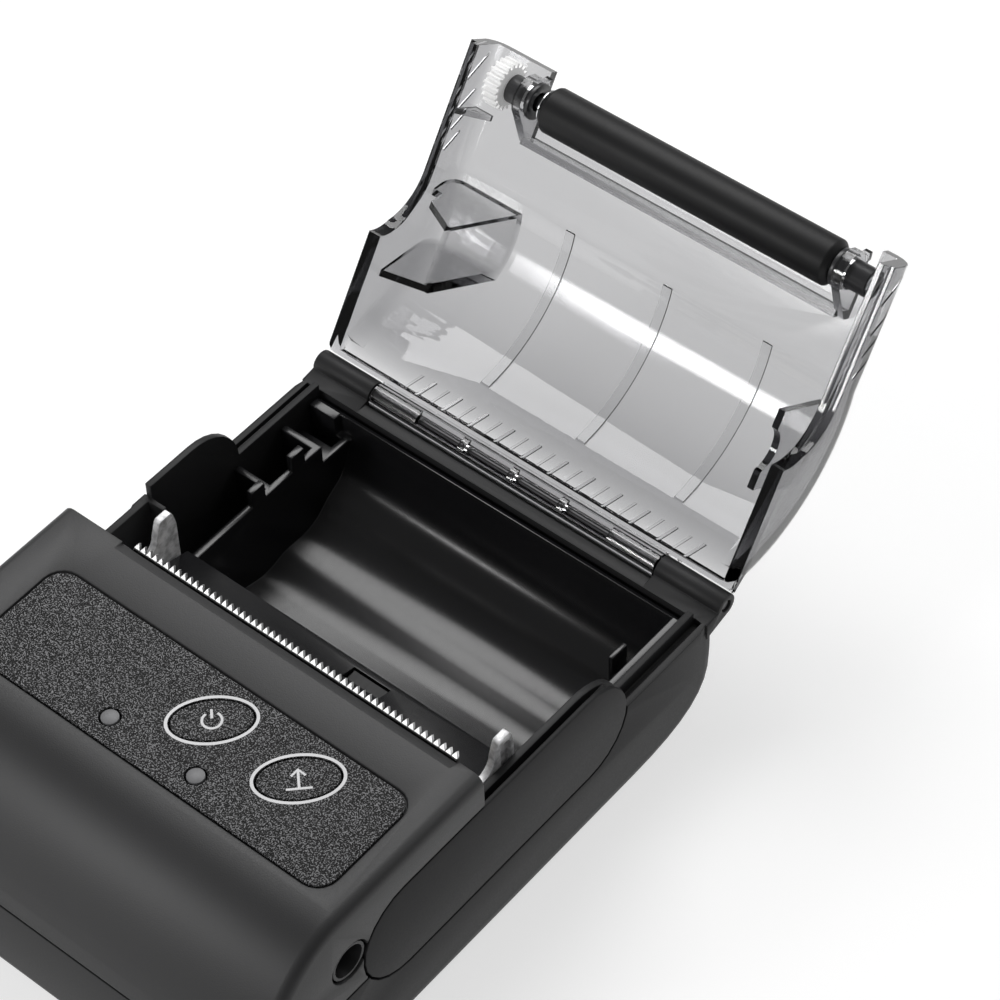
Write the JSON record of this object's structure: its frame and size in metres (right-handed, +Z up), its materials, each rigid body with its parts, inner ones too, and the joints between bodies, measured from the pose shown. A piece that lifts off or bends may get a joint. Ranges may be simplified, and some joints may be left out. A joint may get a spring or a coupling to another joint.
{
  "type": "portable receipt printer",
  "caption": "Pocket thermal receipt printer: black plastic case, serrated tear bar, two oval keys and a clear smoky flip-up cover that carries the feed roller over the paper bin.",
  "frame": {"origin": "middle of the flat underside", "axes": "+Z up, +Y from the nose to the cover hinge, +X to the side with the power socket"},
  "size_m": [0.076, 0.1411, 0.0592],
  "materials": {
    "case_plastic": "fine-textured matte black moulding",
    "bin_plastic": "glossy black moulding",
    "bright_steel": "bright nickel-plated steel",
    "dull_steel": "dull zinc-plated steel",
    "head_ceramic": "glazed ceramic",
    "heat_sink_metal": "bare die-cast",
    "board_green": "solder-masked board",
    "chip_black": "moulded black resin",
    "lamp_grey": "milky grey light pipe",
    "label_film": "speckled black overlay film",
    "flex_film": "amber polyimide film",
    "battery_wrap": "blue shrink wrap",
    "gear_white": "natural white acetal",
    "clear_smoke": "polished smoky clear polycarbonate",
    "bush_grey": "dark grey acetal",
    "roller_rubber": "ground satin black rubber"
  },
  "bodies": {
    "case": {"bottom_case": "case_plastic", "front_cover": "case_plastic", "paper_bin": "bin_plastic", "left_side_panel": "case_plastic", "right_side_panel": "case_plastic", "tear_bar": "bright_steel", "mechanism_frame": "bin_plastic", "left_latch_fork": "bright_steel", "right_latch_fork": "bright_steel", "print_head": "head_ceramic", "heat_sink": "heat_sink_metal", "head_spring": "bright_steel", "stepper_motor": "dull_steel", "main_board": "board_green", "controller_chip": "chip_black", "radio_module": "dull_steel", "power_switch": "chip_black", "feed_switch": "chip_black", "power_light_pipe": "lamp_grey", "status_light_pipe": "lamp_grey", "control_label": "label_film", "dc_jack": "chip_black", "head_flex_cable": "flex_film", "paper_sensor": "chip_black", "battery_pack": "battery_wrap", "battery_connector": "chip_black", "hinge_pin": "bright_steel", "case_screw_front_left": "dull_steel", "case_screw_front_right": "dull_steel", "case_screw_rear_left": "dull_steel", "case_screw_rear_right": "dull_steel"},
    "cover": {"cover_shell": "clear_smoke", "left_roller_bush": "bush_grey", "right_roller_bush": "bush_grey"},
    "roller": {"roller_shaft": "bright_steel", "roller_rubber": "roller_rubber", "roller_gear": "gear_white"},
    "power_key": {"power_button": "label_film"},
    "feed_key": {"feed_button": "label_film"},
    "door": {"battery_door": "case_plastic"},
    "wheel": {"reduction_gear": "gear_white"},
    "pinion": {"motor_pinion": "gear_white"},
    "idler": {"idler_gear": "gear_white"}
  },
  "joints": [
    {"name": "cover_hinge", "type": "hinge", "parent": "case", "child": "cover", "pos_m": [0, 0.0486, 0.0203], "axis": [1, 0, 0], "range_deg": [0, 124]},
    {"name": "roller_spin", "type": "hinge", "parent": "cover", "child": "roller", "pos_m": [0, 0.08365, 0.05528], "axis": [1, 0, 0], "continuous": true},
    {"name": "power_press", "type": "slide", "parent": "case", "child": "power_key", "axis": [0, 0, -1], "range_m": [0, 0.0005], "stiffness_N_per_m": 500, "springref_m": -0.001},
    {"name": "feed_press", "type": "slide", "parent": "case", "child": "feed_key", "axis": [0, 0, -1], "range_m": [0, 0.0005], "stiffness_N_per_m": 500, "springref_m": -0.001},
    {"name": "door_pull", "type": "slide", "parent": "case", "child": "door", "axis": [0, 0, -1], "range_m": [0, 0.01]},
    {"name": "wheel_spin", "type": "hinge", "parent": "case", "child": "wheel", "pos_m": [0, -0.00989, 0.01884], "axis": [1, 0, 0], "continuous": true},
    {"name": "pinion_spin", "type": "hinge", "parent": "case", "child": "pinion", "pos_m": [0, -0.0029, 0.0202], "axis": [1, 0, 0], "continuous": true},
    {"name": "idler_spin", "type": "hinge", "parent": "case", "child": "idler", "pos_m": [0, -0.0066, 0.02435], "axis": [1, 0, 0], "continuous": true}
  ],
  "couplings": [
    {"joint": "pinion_spin", "follows": "wheel_spin", "ratio": -2.3333},
    {"joint": "idler_spin", "follows": "wheel_spin", "ratio": -0.5}
  ]
}
